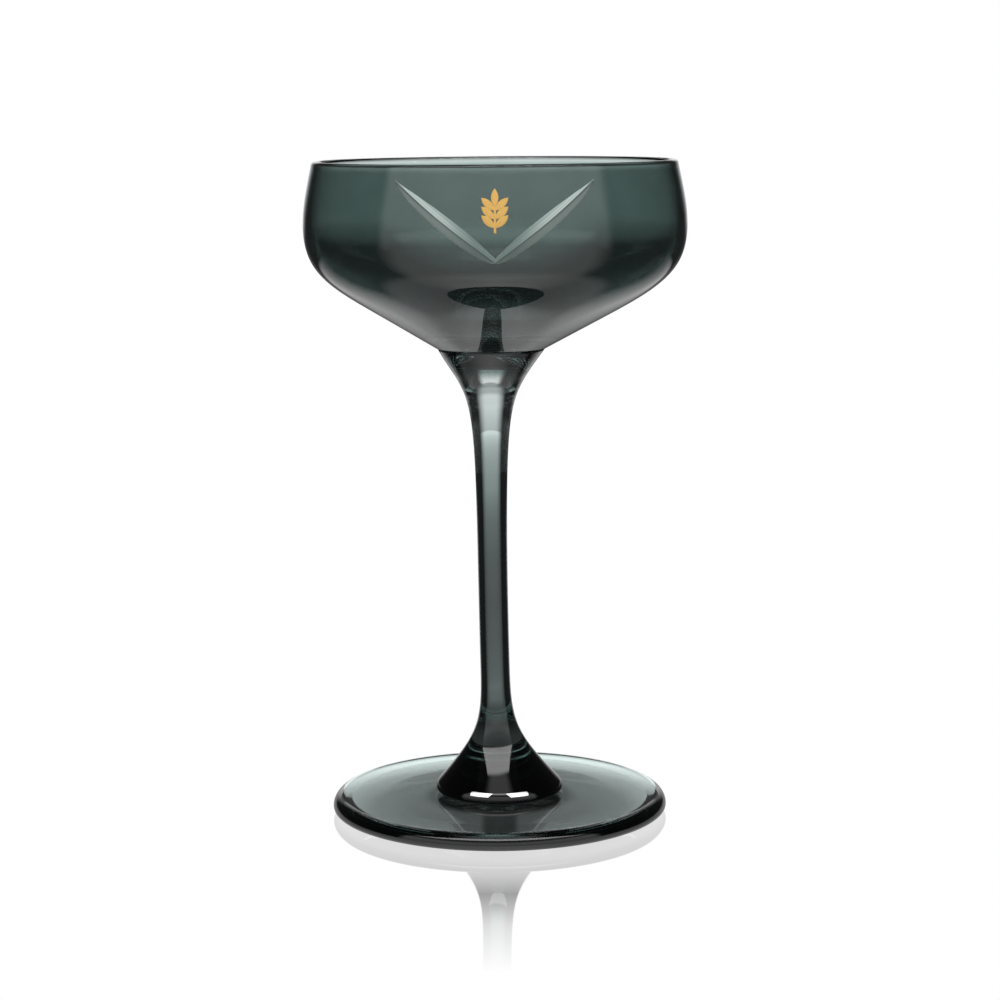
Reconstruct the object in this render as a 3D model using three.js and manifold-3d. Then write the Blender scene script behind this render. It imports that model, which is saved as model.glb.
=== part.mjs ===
// A stemmed coupe glass in smoke-tinted glass: a wide bowl with two mitre cuts that meet in a V at its
// front, a slim solid stem, a disc foot and a small gold sprig inside the V.
// Millimetres, +Z up. The glass stands on z = 0, turned about the Z axis, with its front towards -Y.

import * as THREE from 'three';
import { mergeVertices } from 'three/addons/utils/BufferGeometryUtils.js';
import Module from 'manifold-3d';

// Bowl
const GLASS_HEIGHT = 158;
const BOWL_HEIGHT = 44.7;
const LIP_RADIUS = 43.4;
const LIP_LEAN = 12;
const BELLY_RADIUS = 45.6;
const BELLY_BELOW_LIP = 14.9;
const SHOULDER_RADIUS = 28;
const CONE_RISE = 29.5;
const BOWL_WALL = 1.6;
const BOWL_FLOOR = 2;
const FLOOR_BLEND_RADIUS = 20;

// Stem, with the joint to the bowl at its head and a round bead at its base
const HEAD_RADIUS = 12.85;
const HEAD_FLARE = 32.8;
const WAIST_RADIUS = 3.55;
const WAIST_HEIGHT = 38.3;
const BASE_RADIUS = 15.4;
const BASE_FLARE = 42.7;
const BASE_ROUND = 2.75;
const BASE_TUCK = 26;

// Foot
const FOOT_RADIUS = 40.7;
const FOOT_HEIGHT = 4.7;
const FOOT_ROUND = 2.9;
const FOOT_LOWER_ROUND = 1;
const FOOT_HOLLOW = 0.4;
const BEARING_INSET = 4.7;
const BEARING_WIDTH = 8;

// Mitre cuts, measured on the front of the bowl
const CUT_MEET_BELOW_LIP = 21.7;
const CUT_TIP_BELOW_LIP = 3.6;
const CUT_TIP_REACH = 22;
const CUT_WIDTH = 3;
const CUT_DEPTH = 0.85;
const CUT_FULLNESS = 0.7;

// Gold sprig
const SPRIG_CENTRE_BELOW_LIP = 10.1;
const SPRIG_HEIGHT = 9.8;
const SPRIG_STALK_WIDTH = 0.6;
const SPRIG_LEAF_LENGTH = 4.1;
const SPRIG_LEAF_WIDTH = 1.7;
const SPRIG_LEAF_ANGLE = 47;
const SPRIG_LEAF_PAIRS = 3;
const SPRIG_ROOT_SHARE = 0.6;
const SPRIG_THICKNESS = 0.25;
const SPRIG_CLEARANCE = 0.3;

// Shares of a curve's run that its handles take
const SHOULDER_HANDLE = 0.7;
const BELLY_LOWER_HANDLE = 0.95;
const BELLY_UPPER_HANDLE = 0.3;
const LIP_HANDLE = 0.4;
const HEAD_HANDLE = 0.19;
const WAIST_UPPER_HANDLE = 0.9;
const WAIST_LOWER_HANDLE = 0.51;
const BASE_HANDLE = 0.39;

// Facets round the axis and along each curve
const BOWL_SIDES = 72;
const STEM_SIDES = 48;
const FOOT_SIDES = 72;
const CURVE_STEPS = 10;
const ROUND_STEPS = 6;
const CUT_STEPS = 16;
const MERGE_DISTANCE = 1e-4;

const wasm = await Module();
wasm.setup();

const radians = THREE.MathUtils.degToRad;
const point = (r, z) => new THREE.Vector2(r, z);

// Heights that the pieces share
const SEAT_HEIGHT = GLASS_HEIGHT - BOWL_HEIGHT;
const BELLY_HEIGHT = GLASS_HEIGHT - BELLY_BELOW_LIP;
const CONE_SLOPE = Math.tan(radians(CONE_RISE));

function closed(geometry) {
  geometry.deleteAttribute('normal');
  geometry.deleteAttribute('uv');
  const merged = mergeVertices(geometry, MERGE_DISTANCE);
  const corners = merged.index.array;
  const kept = [];
  for (let i = 0; i < corners.length; i += 3) {
    const [a, b, c] = corners.slice(i, i + 3);
    if (a !== b && b !== c && c !== a) kept.push(a, b, c);
  }
  merged.setIndex(kept);
  return merged;
}

// A profile of (radius, height) points turned about the Z axis, its outside on the right of its run
function turned(profile, sides) {
  return closed(new THREE.LatheGeometry(profile, sides).rotateX(Math.PI / 2));
}

function solid(geometry) {
  return new wasm.Manifold(new wasm.Mesh({
    numProp: 3,
    vertProperties: geometry.attributes.position.array,
    triVerts: new Uint32Array(geometry.index.array),
  }));
}

function geometryOf(manifold) {
  const { vertProperties, triVerts } = manifold.getMesh();
  const geometry = new THREE.BufferGeometry();
  geometry.setAttribute('position', new THREE.BufferAttribute(new Float32Array(vertProperties), 3));
  geometry.setIndex(new THREE.BufferAttribute(new Uint32Array(triVerts), 1));
  return geometry;
}

function named(name, geometry, look) {
  geometry.computeVertexNormals();
  const mesh = new THREE.Mesh(geometry, new THREE.MeshStandardMaterial(look));
  mesh.name = name;
  return mesh;
}

// A cubic curve between two ends, each handle given as a step from its end
function curve(start, startStep, end, endStep, steps) {
  const first = start.clone().add(startStep);
  const second = end.clone().add(endStep);
  return new THREE.CubicBezierCurve(start, first, second, end).getPoints(steps);
}

// The same line moved sideways, to the right of its run where the distance is positive
function beside(line, distance) {
  return line.map((here, i) => {
    const before = line[Math.max(i - 1, 0)];
    const after = line[Math.min(i + 1, line.length - 1)];
    const run = after.clone().sub(before).normalize();
    return point(here.x + run.y * distance, here.y - run.x * distance);
  });
}

// Outer wall of the bowl from the shoulder up to the lip: a shoulder that turns the cone upright at the
// belly, then a wall that leans in towards the lip
function outerWall() {
  const lean = radians(LIP_LEAN);
  const shoulder = point(SHOULDER_RADIUS, SEAT_HEIGHT + (SHOULDER_RADIUS - HEAD_RADIUS) * CONE_SLOPE);
  const corner = point(BELLY_RADIUS, SEAT_HEIGHT + (BELLY_RADIUS - HEAD_RADIUS) * CONE_SLOPE);
  const belly = point(BELLY_RADIUS, BELLY_HEIGHT);
  const lip = point(LIP_RADIUS, GLASS_HEIGHT - BOWL_WALL / 2 + (BOWL_WALL / 2) * Math.sin(lean));
  const rise = lip.y - belly.y;
  const lower = curve(
    shoulder, corner.clone().sub(shoulder).multiplyScalar(SHOULDER_HANDLE),
    belly, corner.clone().sub(belly).multiplyScalar(BELLY_LOWER_HANDLE), CURVE_STEPS,
  );
  const upper = curve(
    belly, point(0, rise * BELLY_UPPER_HANDLE),
    lip, point(Math.sin(lean), -Math.cos(lean)).multiplyScalar(rise * LIP_HANDLE), ROUND_STEPS,
  );
  return [...lower, ...upper.slice(1)];
}

const OUTER_WALL = outerWall();

// Half circle over the lip, from the outer wall to the inner one
function lipRound() {
  const lean = radians(LIP_LEAN);
  const half = BOWL_WALL / 2;
  const crown = Math.PI / 2;
  const middle = point(LIP_RADIUS - half * Math.cos(lean), GLASS_HEIGHT - half);
  const arc = (from, to) => new THREE.EllipseCurve(middle.x, middle.y, half, half, from, to)
    .getPoints(ROUND_STEPS / 2);
  return [...arc(lean, crown), ...arc(crown, lean + Math.PI).slice(1)];
}

// Inside of the bowl from the lip down: the wall's thickness inside the outer wall, along the cone, and
// over a rounded floor to the axis
function innerWall() {
  const inner = beside(OUTER_WALL, -BOWL_WALL);
  const shoulder = inner[0];
  const floorHeight = SEAT_HEIGHT + BOWL_FLOOR;
  const blend = point(FLOOR_BLEND_RADIUS, shoulder.y - (shoulder.x - FLOOR_BLEND_RADIUS) * CONE_SLOPE);
  const corner = point(blend.x - (blend.y - floorHeight) / CONE_SLOPE, floorHeight);
  const floor = new THREE.QuadraticBezierCurve(blend, corner, point(0, floorHeight));
  return [...inner.reverse().slice(1), ...floor.getPoints(ROUND_STEPS)];
}

// Radius of the outer wall at a height, and how fast it grows with height there
function wallAt(height) {
  let above = OUTER_WALL.findIndex((p) => p.y >= height);
  above = Math.min(Math.max(above, 1), OUTER_WALL.length - 1);
  const low = OUTER_WALL[above - 1];
  const high = OUTER_WALL[above];
  const growth = (high.x - low.x) / (high.y - low.y);
  return { radius: low.x + (height - low.y) * growth, growth };
}

// Point of the front wall at a place across and a height, with the wall's outward direction there
function frontWall(across, height) {
  const { radius, growth } = wallAt(height);
  const deep = Math.sqrt(radius ** 2 - across ** 2);
  return {
    place: new THREE.Vector3(across, -deep, height),
    outward: new THREE.Vector3(across / radius, -deep / radius, -growth).normalize(),
  };
}

// What one mitre cut takes out: a V section carried along a line on the front wall, swelling from the
// place where the two cuts meet and dying out at the tip. Its sides run on above the wall.
function mitreCut(side) {
  const meet = GLASS_HEIGHT - CUT_MEET_BELOW_LIP;
  const tip = GLASS_HEIGHT - CUT_TIP_BELOW_LIP;
  const along = (share) => frontWall(side * CUT_TIP_REACH * share, meet + (tip - meet) * share);
  const corners = [along(0).place];
  for (let step = 1; step < CUT_STEPS; step += 1) {
    const share = step / CUT_STEPS;
    const { place, outward } = along(share);
    const before = along((step - 1) / CUT_STEPS).place;
    const run = along((step + 1) / CUT_STEPS).place.sub(before).normalize();
    const across = outward.clone().cross(run);
    const swell = Math.sin(Math.PI * share) ** CUT_FULLNESS;
    const reach = across.multiplyScalar(CUT_WIDTH * swell);
    const lift = outward.clone().multiplyScalar(CUT_DEPTH * swell);
    corners.push(place.clone().sub(lift));
    corners.push(place.clone().add(lift).add(reach));
    corners.push(place.clone().add(lift).sub(reach));
  }
  corners.push(along(1).place);
  const last = corners.length - 1;
  const faces = [];
  for (let k = 0; k < 3; k += 1) {
    const next = (k + 1) % 3;
    faces.push(0, 1 + next, 1 + k);
    for (let step = 0; step < CUT_STEPS - 2; step += 1) {
      const here = 1 + step * 3;
      const ahead = here + 3;
      faces.push(here + k, ahead + next, ahead + k, here + k, here + next, ahead + next);
    }
    faces.push(last, last - 3 + k, last - 3 + next);
  }
  const geometry = new THREE.BufferGeometry().setFromPoints(corners);
  geometry.setIndex(faces);
  return solid(geometry);
}

function bowl() {
  const profile = [
    point(0, SEAT_HEIGHT),
    point(HEAD_RADIUS, SEAT_HEIGHT),
    ...OUTER_WALL.slice(0, -1),
    ...lipRound(),
    ...innerWall(),
  ];
  const blank = solid(turned(profile, BOWL_SIDES));
  return geometryOf(blank.subtract(mitreCut(1)).subtract(mitreCut(-1)));
}

// A round stretch of a profile, its angles measured from the outward direction
function round(centre, radius, from, to) {
  return new THREE.EllipseCurve(centre.x, centre.y, radius, radius, from, to).getPoints(ROUND_STEPS);
}

function stem() {
  const tuck = radians(BASE_TUCK);
  const beadCentre = point(BASE_RADIUS - BASE_ROUND, FOOT_HEIGHT + BASE_ROUND * Math.sin(tuck));
  const bead = round(beadCentre, BASE_ROUND, -tuck, radians(BASE_FLARE));
  const base = bead.at(-1);
  const waist = point(WAIST_RADIUS, WAIST_HEIGHT);
  const head = point(HEAD_RADIUS, SEAT_HEIGHT);
  const lowerRun = waist.y - base.y;
  const upperRun = head.y - waist.y;
  const lower = curve(
    base, point(-Math.tan(radians(BASE_FLARE)), 1).multiplyScalar(lowerRun * BASE_HANDLE),
    waist, point(0, -lowerRun * WAIST_LOWER_HANDLE), CURVE_STEPS,
  );
  const upper = curve(
    waist, point(0, upperRun * WAIST_UPPER_HANDLE),
    head, point(-Math.tan(radians(HEAD_FLARE)), -1).multiplyScalar(upperRun * HEAD_HANDLE), CURVE_STEPS + 2,
  );
  return turned([
    point(0, FOOT_HEIGHT),
    ...bead,
    ...lower.slice(1),
    ...upper.slice(1),
    point(0, SEAT_HEIGHT),
  ], STEM_SIDES);
}

function foot() {
  const widest = FOOT_HEIGHT - FOOT_ROUND;
  const quarter = Math.PI / 2;
  const bearingOuter = FOOT_RADIUS - BEARING_INSET;
  const bearingInner = bearingOuter - BEARING_WIDTH;
  const hollow = new THREE.QuadraticBezierCurve(
    point(0, FOOT_HOLLOW), point(bearingInner / 2, FOOT_HOLLOW), point(bearingInner, 0),
  );
  return turned([
    ...hollow.getPoints(ROUND_STEPS),
    point(bearingOuter, 0),
    ...round(point(FOOT_RADIUS - FOOT_LOWER_ROUND, widest), FOOT_LOWER_ROUND, -quarter, 0),
    ...round(point(FOOT_RADIUS - FOOT_ROUND, widest), FOOT_ROUND, 0, quarter).slice(1),
    point(0, FOOT_HEIGHT),
  ], FOOT_SIDES);
}

// A flat outline in the XZ plane, carried forward through the front wall
function pressed(outline) {
  const geometry = new THREE.ExtrudeGeometry(outline, {
    depth: BELLY_RADIUS * 2,
    bevelEnabled: false,
    curveSegments: ROUND_STEPS,
  });
  return solid(closed(geometry.rotateX(Math.PI / 2)));
}

// A pointed leaf that grows from a place on the stalk at an angle to the upright
function leaf(rootHeight, length, angle) {
  const tip = point(Math.sin(angle) * length, rootHeight + Math.cos(angle) * length);
  const middle = point(tip.x / 2, (rootHeight + tip.y) / 2);
  const bulge = point(Math.cos(angle), -Math.sin(angle)).multiplyScalar(SPRIG_LEAF_WIDTH);
  const outline = new THREE.Shape();
  outline.moveTo(0, rootHeight);
  outline.quadraticCurveTo(middle.x + bulge.x, middle.y + bulge.y, tip.x, tip.y);
  outline.quadraticCurveTo(middle.x - bulge.x, middle.y - bulge.y, 0, rootHeight);
  return pressed(outline);
}

// A stalk with pairs of leaves and one leaf at its top
function sprigOutline() {
  const bottom = GLASS_HEIGHT - SPRIG_CENTRE_BELOW_LIP - SPRIG_HEIGHT / 2;
  const top = bottom + SPRIG_HEIGHT - SPRIG_LEAF_LENGTH;
  const half = SPRIG_STALK_WIDTH / 2;
  const stalk = new THREE.Shape([
    point(-half, bottom),
    point(half, bottom),
    point(half, top + half),
    point(-half, top + half),
  ]);
  let sprig = pressed(stalk).add(leaf(top, SPRIG_LEAF_LENGTH, 0));
  for (let pair = 0; pair < SPRIG_LEAF_PAIRS; pair += 1) {
    const root = bottom + ((top - bottom) * (pair + SPRIG_ROOT_SHARE)) / SPRIG_LEAF_PAIRS;
    for (const side of [-1, 1]) {
      sprig = sprig.add(leaf(root, SPRIG_LEAF_LENGTH, side * radians(SPRIG_LEAF_ANGLE)));
    }
  }
  return sprig;
}

// The sprig's outline cut from a thin skin that follows the wall at its clearance
function goldSprig() {
  const near = beside(OUTER_WALL, SPRIG_CLEARANCE);
  const far = beside(OUTER_WALL, SPRIG_CLEARANCE + SPRIG_THICKNESS);
  const skin = solid(turned([...far, ...near.reverse(), far[0]], BOWL_SIDES));
  const front = sprigOutline();
  return geometryOf(skin.intersect(front));
}

const SMOKE_GLASS = { color: '#3c4a48', roughness: 0.05, metalness: 0 };
const GOLD_LUSTRE = { color: '#e0bd76', roughness: 0.35, metalness: 1 };

const glass = new THREE.Group();
glass.add(
  named('bowl', bowl(), SMOKE_GLASS),
  named('stem', stem(), SMOKE_GLASS),
  named('foot', foot(), SMOKE_GLASS),
  named('gold_emblem', goldSprig(), GOLD_LUSTRE),
);

export default glass;
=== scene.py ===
"""Looks of a stemmed coupe glass: smoke-coated crystal with two mitre cuts and a small gold sprig.

Sizes in the classes are millimetres and degrees. A mesh is written in metres, in the frame of the solids:
+Z up, standing on z = 0, turned about the Z axis, with its front towards -Y.
"""

import logging
import math
from dataclasses import dataclass, field
from enum import IntEnum
from typing import ClassVar

import bpy
import numpy as np
from mathutils import Euler, Matrix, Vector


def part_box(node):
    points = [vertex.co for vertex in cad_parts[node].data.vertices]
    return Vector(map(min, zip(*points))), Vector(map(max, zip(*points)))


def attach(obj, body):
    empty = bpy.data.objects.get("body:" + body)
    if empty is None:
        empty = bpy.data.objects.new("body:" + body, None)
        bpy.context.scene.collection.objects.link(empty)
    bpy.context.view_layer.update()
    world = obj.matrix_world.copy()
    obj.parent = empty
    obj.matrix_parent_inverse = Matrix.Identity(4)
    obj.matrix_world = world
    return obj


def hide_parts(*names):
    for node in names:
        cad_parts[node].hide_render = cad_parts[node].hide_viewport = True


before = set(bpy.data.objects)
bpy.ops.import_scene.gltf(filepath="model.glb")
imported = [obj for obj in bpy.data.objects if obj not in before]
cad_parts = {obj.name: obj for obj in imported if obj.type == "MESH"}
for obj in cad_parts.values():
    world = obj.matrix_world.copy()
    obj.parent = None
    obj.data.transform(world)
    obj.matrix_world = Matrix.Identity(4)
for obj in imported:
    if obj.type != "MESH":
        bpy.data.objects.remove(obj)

MM = 0.001
BODY = "root"
LOG = logging.getLogger("coupe_glass")
WHITE = (1.0, 1.0, 1.0, 1.0)
QUARTER_TURN = 90.0
HALF_TURN = 180.0
FULL_TURN = 360.0
# Less than any step between two columns, in radians.
TINY = 1e-6

# Edges of a step along a count or a flag: where it is at least one, and where it is none.
YES = (0.4, 0.6)
NO = (0.6, 0.4)

Tree = bpy.types.NodeTree
Socket = bpy.types.NodeSocket
Material = bpy.types.Material
Point = tuple | np.ndarray


class Zone(IntEnum):
    """The surfaces of a glass piece, in the order of its material slots."""

    COATED = 0
    CLEAR = 1
    CUT = 2
    JOINT = 3


def linear(code: str) -> tuple[float, float, float, float]:
    """Turns an sRGB hex colour into linear light.

    Args:
        code: The colour as "#rrggbb".

    Returns:
        Red, green, blue and an alpha of 1.
    """
    channels = np.array([int(code[i:i + 2], 16) for i in (1, 3, 5)]) / 255
    curved = ((channels + 0.055) / 1.055) ** 2.4
    return (*np.where(channels <= 0.04045, channels / 12.92, curved).tolist(), 1.0)


def add_node(tree: Tree, kind: str, inputs: dict | None = None, **settings: object) -> bpy.types.Node:
    """Adds a shader node, with its settings, and fills or links its inputs.

    Args:
        tree: The node tree that gets the node.
        kind: The node's type name, without the "ShaderNode" that starts it.
        inputs: A value, or another node's output to link, for each input by name or number.
        **settings: The node's own properties.

    Returns:
        The new node.
    """
    node = tree.nodes.new(f"ShaderNode{kind}")
    for name, value in settings.items():
        setattr(node, name, value)
    for key, value in (inputs or {}).items():
        if isinstance(value, Socket):
            tree.links.new(value, node.inputs[key])
        else:
            node.inputs[key].default_value = value
    return node


def empty_tree(owner: Material | bpy.types.World | bpy.types.Light) -> Tree:
    """Gives a material, world or light an empty node tree.

    Args:
        owner: What gets the tree.

    Returns:
        The tree.
    """
    owner.use_nodes = True
    owner.node_tree.nodes.clear()
    return owner.node_tree


def placed(name: str, data: bpy.types.ID) -> bpy.types.Object:
    """Puts an object into the scene, at the origin.

    Args:
        name: The object's name.
        data: Its mesh, camera or light.

    Returns:
        The object.
    """
    made = bpy.data.objects.new(name, data)
    bpy.context.scene.collection.objects.link(made)
    return made


def smooth_step(values: np.ndarray, low: float, high: float) -> np.ndarray:
    """Rises from 0 at low to 1 at high as 3t^2 - 2t^3."""
    t = np.clip((values - low) / (high - low), 0, 1)
    return t * t * (3 - 2 * t)


def cubic(start: Point, start_step: Point, end: Point, end_step: Point, count: int) -> np.ndarray:
    """A cubic curve between two ends, in the (radius, height) plane.

    The point at t is (1-t)^3 A + 3(1-t)^2 t B + 3(1-t) t^2 C + t^3 D, with A and D the ends and B and C the
    ends moved by their steps.

    Args:
        start: First end.
        start_step: Step from the first end to its handle.
        end: Last end.
        end_step: Step from the last end to its handle.
        count: How many points.

    Returns:
        The points, one row each.
    """
    a, d = np.array(start, float), np.array(end, float)
    b, c = a + start_step, d + end_step
    t = np.linspace(0, 1, count)[:, None]
    return (1 - t) ** 3 * a + 3 * (1 - t) ** 2 * t * b + 3 * (1 - t) * t ** 2 * c + t ** 3 * d


def arc(centre: Point, radius: float, first: float, last: float, count: int) -> np.ndarray:
    """A round stretch of a profile.

    Args:
        centre: Its middle, as radius and height.
        radius: Its radius.
        first: Angle of its first point, in degrees from the outward direction.
        last: Angle of its last point.
        count: How many points.

    Returns:
        The points, one row each.
    """
    turn = np.radians(np.linspace(first, last, count))
    return np.array(centre) + radius * np.stack([np.cos(turn), np.sin(turn)], axis=1)


def spaced(line: np.ndarray, count: int) -> np.ndarray:
    """Spreads points evenly along a line.

    Args:
        line: The line's points.
        count: How many points to spread, both ends among them.

    Returns:
        The new points, by linear steps along the line's length.
    """
    steps = np.linalg.norm(np.diff(line, axis=0), axis=1)
    run = np.concatenate([[0], np.cumsum(steps)])
    places = np.linspace(0, run[-1], count)
    return np.stack([np.interp(places, run, line[:, k]) for k in range(2)], axis=1)


def quadratic(start: Point, handle: Point, end: Point, count: int) -> np.ndarray:
    """A curve of one handle: the point at t is (1-t)^2 A + 2(1-t)t B + t^2 C.

    Args:
        start: First end, A.
        handle: The handle, B.
        end: Last end, C.
        count: How many points.

    Returns:
        The points, one row each.
    """
    a, b, c = (np.array(place, float) for place in (start, handle, end))
    t = np.linspace(0, 1, count)[:, None]
    return (1 - t) ** 2 * a + 2 * (1 - t) * t * b + t ** 2 * c


def between(first: np.ndarray, last: np.ndarray, count: int) -> np.ndarray:
    """Rows that step evenly from one row of values to another, without the first.

    Args:
        first: Values of the row before.
        last: Values of the last row.
        count: How many rows.

    Returns:
        The rows.
    """
    t = np.linspace(0, 1, count + 1)[1:, None]
    return first + (last - first) * t


def outward(line: np.ndarray) -> np.ndarray:
    """Directions square to a line, to the right of its run.

    Args:
        line: The line's points.

    Returns:
        A unit direction for each point.
    """
    run = np.gradient(line, axis=0)
    run /= np.linalg.norm(run, axis=1, keepdims=True)
    return np.stack([run[:, 1], -run[:, 0]], axis=1)


def turned(radius: np.ndarray, height: np.ndarray, angle: np.ndarray) -> np.ndarray:
    """Carries profile points round the Z axis: x = r sin a, y = -r cos a, with a measured from the front.

    Args:
        radius: Radii, rows by columns or rows by 1.
        height: Heights, of the same shape.
        angle: Angles of the columns, in radians.

    Returns:
        Points as rows by columns by 3.
    """
    x, y, z = np.broadcast_arrays(radius * np.sin(angle), -radius * np.cos(angle), height)
    return np.stack([x, y, z], axis=2)


def folded(angle: np.ndarray) -> np.ndarray:
    """Angle from the front on either side: |a|, with a brought between -pi and pi."""
    return np.abs((angle + math.pi) % (2 * math.pi) - math.pi)


@dataclass(frozen=True)
class HandDraw:
    """How far the drawing of the stem by hand pulled it aside.

    The pull grows from the foot as 1 - (1 - t)^growth, with t the share of the height where it is full, and
    dies out again over the lower part of the bowl.
    """

    pull: float = -1.4
    growth: float = 2.5
    start: float = 4.7
    full: float = 100.0
    release: float = 108.0
    straight: float = 127.0

    def bend(self, rings: np.ndarray) -> np.ndarray:
        """Moves points sideways, along x, by the pull at their height.

        Args:
            rings: Points, rows by columns by 3.

        Returns:
            The moved points.
        """
        height = rings[..., 2]
        t = np.clip((height - self.start) / (self.full - self.start), 0, 1)
        share = (1 - (1 - t) ** self.growth) * (1 - smooth_step(height, self.release, self.straight))
        return rings + (self.pull * share)[..., None] * np.array([1.0, 0.0, 0.0])


@dataclass
class Shell:
    """A closed surface of rings with a pole at each end, all in millimetres.

    Attributes:
        rings: Points of the rings, rows by columns by 3, from the first pole to the last.
        poles: The two poles, on the axis.
        zones: The finish of each face between two rings, rows - 1 by columns.
        pole_zones: The finish of the faces round each pole.
        measures: Named values of the ring points, rows by columns each.
        creases: Which ring points lie on a sharp edge, rows by columns.
    """

    rings: np.ndarray
    poles: tuple
    zones: np.ndarray
    pole_zones: tuple
    measures: dict = field(default_factory=dict)
    creases: np.ndarray | None = None

    def faces(self) -> tuple[np.ndarray, np.ndarray, np.ndarray]:
        """Corners of the faces, each turning left seen from outside.

        Returns:
            Quads between the rings, triangles at the first pole and triangles at the last.
        """
        rows, columns = self.rings.shape[:2]
        here = np.arange(rows * columns).reshape(rows, columns)
        ahead = np.roll(here, -1, axis=1)
        quads = np.stack([here[:-1], ahead[:-1], ahead[1:], here[1:]], axis=2).reshape(-1, 4)
        first = np.full(columns, rows * columns)
        start = np.stack([first, ahead[0], here[0]], axis=1)
        end = np.stack([here[-1], ahead[-1], first + 1], axis=1)
        return quads, start, end

    def build(self, name: str, finishes: list[Material]) -> bpy.types.Object:
        """Writes the surface into a mesh object.

        Args:
            name: The object's name.
            finishes: One material for each zone, in order.

        Returns:
            The new object, at the origin.
        """
        points = np.concatenate([self.rings.reshape(-1, 3), np.array(self.poles, float)]) * MM
        groups = self.faces()
        corners = np.concatenate([group.ravel() for group in groups])
        sizes = np.concatenate([np.full(len(group), group.shape[1]) for group in groups])
        mesh = bpy.data.meshes.new(name)
        mesh.vertices.add(len(points))
        mesh.vertices.foreach_set("co", points.ravel())
        mesh.loops.add(len(corners))
        mesh.loops.foreach_set("vertex_index", corners)
        mesh.polygons.add(len(sizes))
        mesh.polygons.foreach_set("loop_start", np.cumsum(sizes) - sizes)
        columns = self.rings.shape[1]
        ends = [np.full(columns, zone) for zone in self.pole_zones]
        zones = np.concatenate([self.zones.ravel(), *ends]).astype(np.int32)
        mesh.polygons.foreach_set("material_index", zones)
        mesh.polygons.foreach_set("use_smooth", np.ones(len(sizes), bool))
        mesh.update(calc_edges=True)
        for key, values in self.measures.items():
            data = np.concatenate([values.ravel(), values[0, :1], values[-1, :1]])
            mesh.attributes.new(key, "FLOAT", "POINT").data.foreach_set("value", data.astype(np.float32))
        if self.creases is not None:
            self.mark_creases(mesh)
        mesh.validate()
        for finish in finishes:
            mesh.materials.append(finish)
        return placed(name, mesh)

    def mark_creases(self, mesh: bpy.types.Mesh) -> None:
        """Marks an edge as sharp where both of its ends lie on a crease.

        Args:
            mesh: The mesh made of this surface.
        """
        ends = np.empty(len(mesh.edges) * 2, np.int32)
        mesh.edges.foreach_get("vertices", ends)
        sharp = np.concatenate([self.creases.ravel(), [0, 0]])[ends.reshape(-1, 2)]
        both = (sharp[:, 0] == sharp[:, 1]) & (sharp[:, 0] > 0)
        mesh.attributes.new("sharp_edge", "BOOLEAN", "EDGE").data.foreach_set("value", both)


@dataclass(frozen=True)
class SmokeCoat:
    """Soda-lime glass with a sprayed and fired smoke lustre on its outside.

    The lustre is a film of some microns, so each crossing takes away about two thirds of the light and leaves
    a green-grey tone, while the gloss on top stays colourless. The measure "coat" scales its thickness point
    by
    point: it thins towards the lip and the upper stem, and where it thickens, on the stem's bead, lower
    flare, a band on the lower stem and its head, on the foot's edge and at the bowl's bottom, it is painted
    shade. A faint cloud shows its uneven thickness.
    """

    tint: str = "#4a5e5b"
    cloud_size: float = 9.0
    cloud_range: tuple = (0.3, 0.7)
    cloud_depth: float = 0.08
    wave_size: float = 14.0
    wave_height: float = 0.002
    ior: float = 1.52

    def material(self) -> Material:
        """Makes the material: a glass whose tint follows the coat's thickness.

        Returns:
            The material.
        """
        material = bpy.data.materials.new("smoke_lustre_on_glass")
        tree = empty_tree(material)
        place = add_node(tree, "TexCoord").outputs["Object"]
        coat = add_node(tree, "Attribute", attribute_name="coat").outputs["Fac"]
        cloud = add_node(tree, "TexNoise", {
            "Vector": place, "Scale": 1 / (self.cloud_size * MM), "Detail": 3.0,
        }).outputs["Fac"]
        uneven = add_node(tree, "MapRange", {
            "Value": cloud, "From Min": self.cloud_range[0], "From Max": self.cloud_range[1],
            "To Min": 1 - self.cloud_depth, "To Max": 1.0,
        }).outputs["Result"]
        thickness = add_node(tree, "Math", {0: coat, 1: uneven}, operation="MULTIPLY").outputs[0]
        tint = add_node(tree, "Gamma", {"Color": linear(self.tint), "Gamma": thickness}).outputs["Color"]
        wave = add_node(tree, "TexNoise", {
            "Vector": place, "Scale": 1 / (self.wave_size * MM), "Detail": 1.0,
        }).outputs["Fac"]
        bump = add_node(tree, "Bump", {
            "Height": wave, "Strength": 1.0, "Distance": self.wave_height * MM,
        }).outputs["Normal"]
        glass = add_node(tree, "BsdfPrincipled", {
            "Base Color": tint, "Roughness": 0.0, "IOR": self.ior,
            "Transmission Weight": 1.0, "Normal": bump,
        })
        add_node(tree, "OutputMaterial", {"Surface": glass.outputs[0]})
        return material


@dataclass(frozen=True)
class ClearGlass:
    """Fire-polished soda-lime glass, the bowl's bare inside: colourless, with a trace of green."""

    tint: str = "#f4f8f6"
    ior: float = 1.52

    def material(self) -> Material:
        """Makes the material: a plain clear glass.

        Returns:
            The material.
        """
        material = bpy.data.materials.new("fire_polished_glass")
        tree = empty_tree(material)
        glass = add_node(tree, "BsdfPrincipled", {
            "Base Color": linear(self.tint), "Roughness": 0.0, "IOR": self.ior, "Transmission Weight": 1.0,
        })
        add_node(tree, "OutputMaterial", {"Surface": glass.outputs[0]})
        return material


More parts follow.
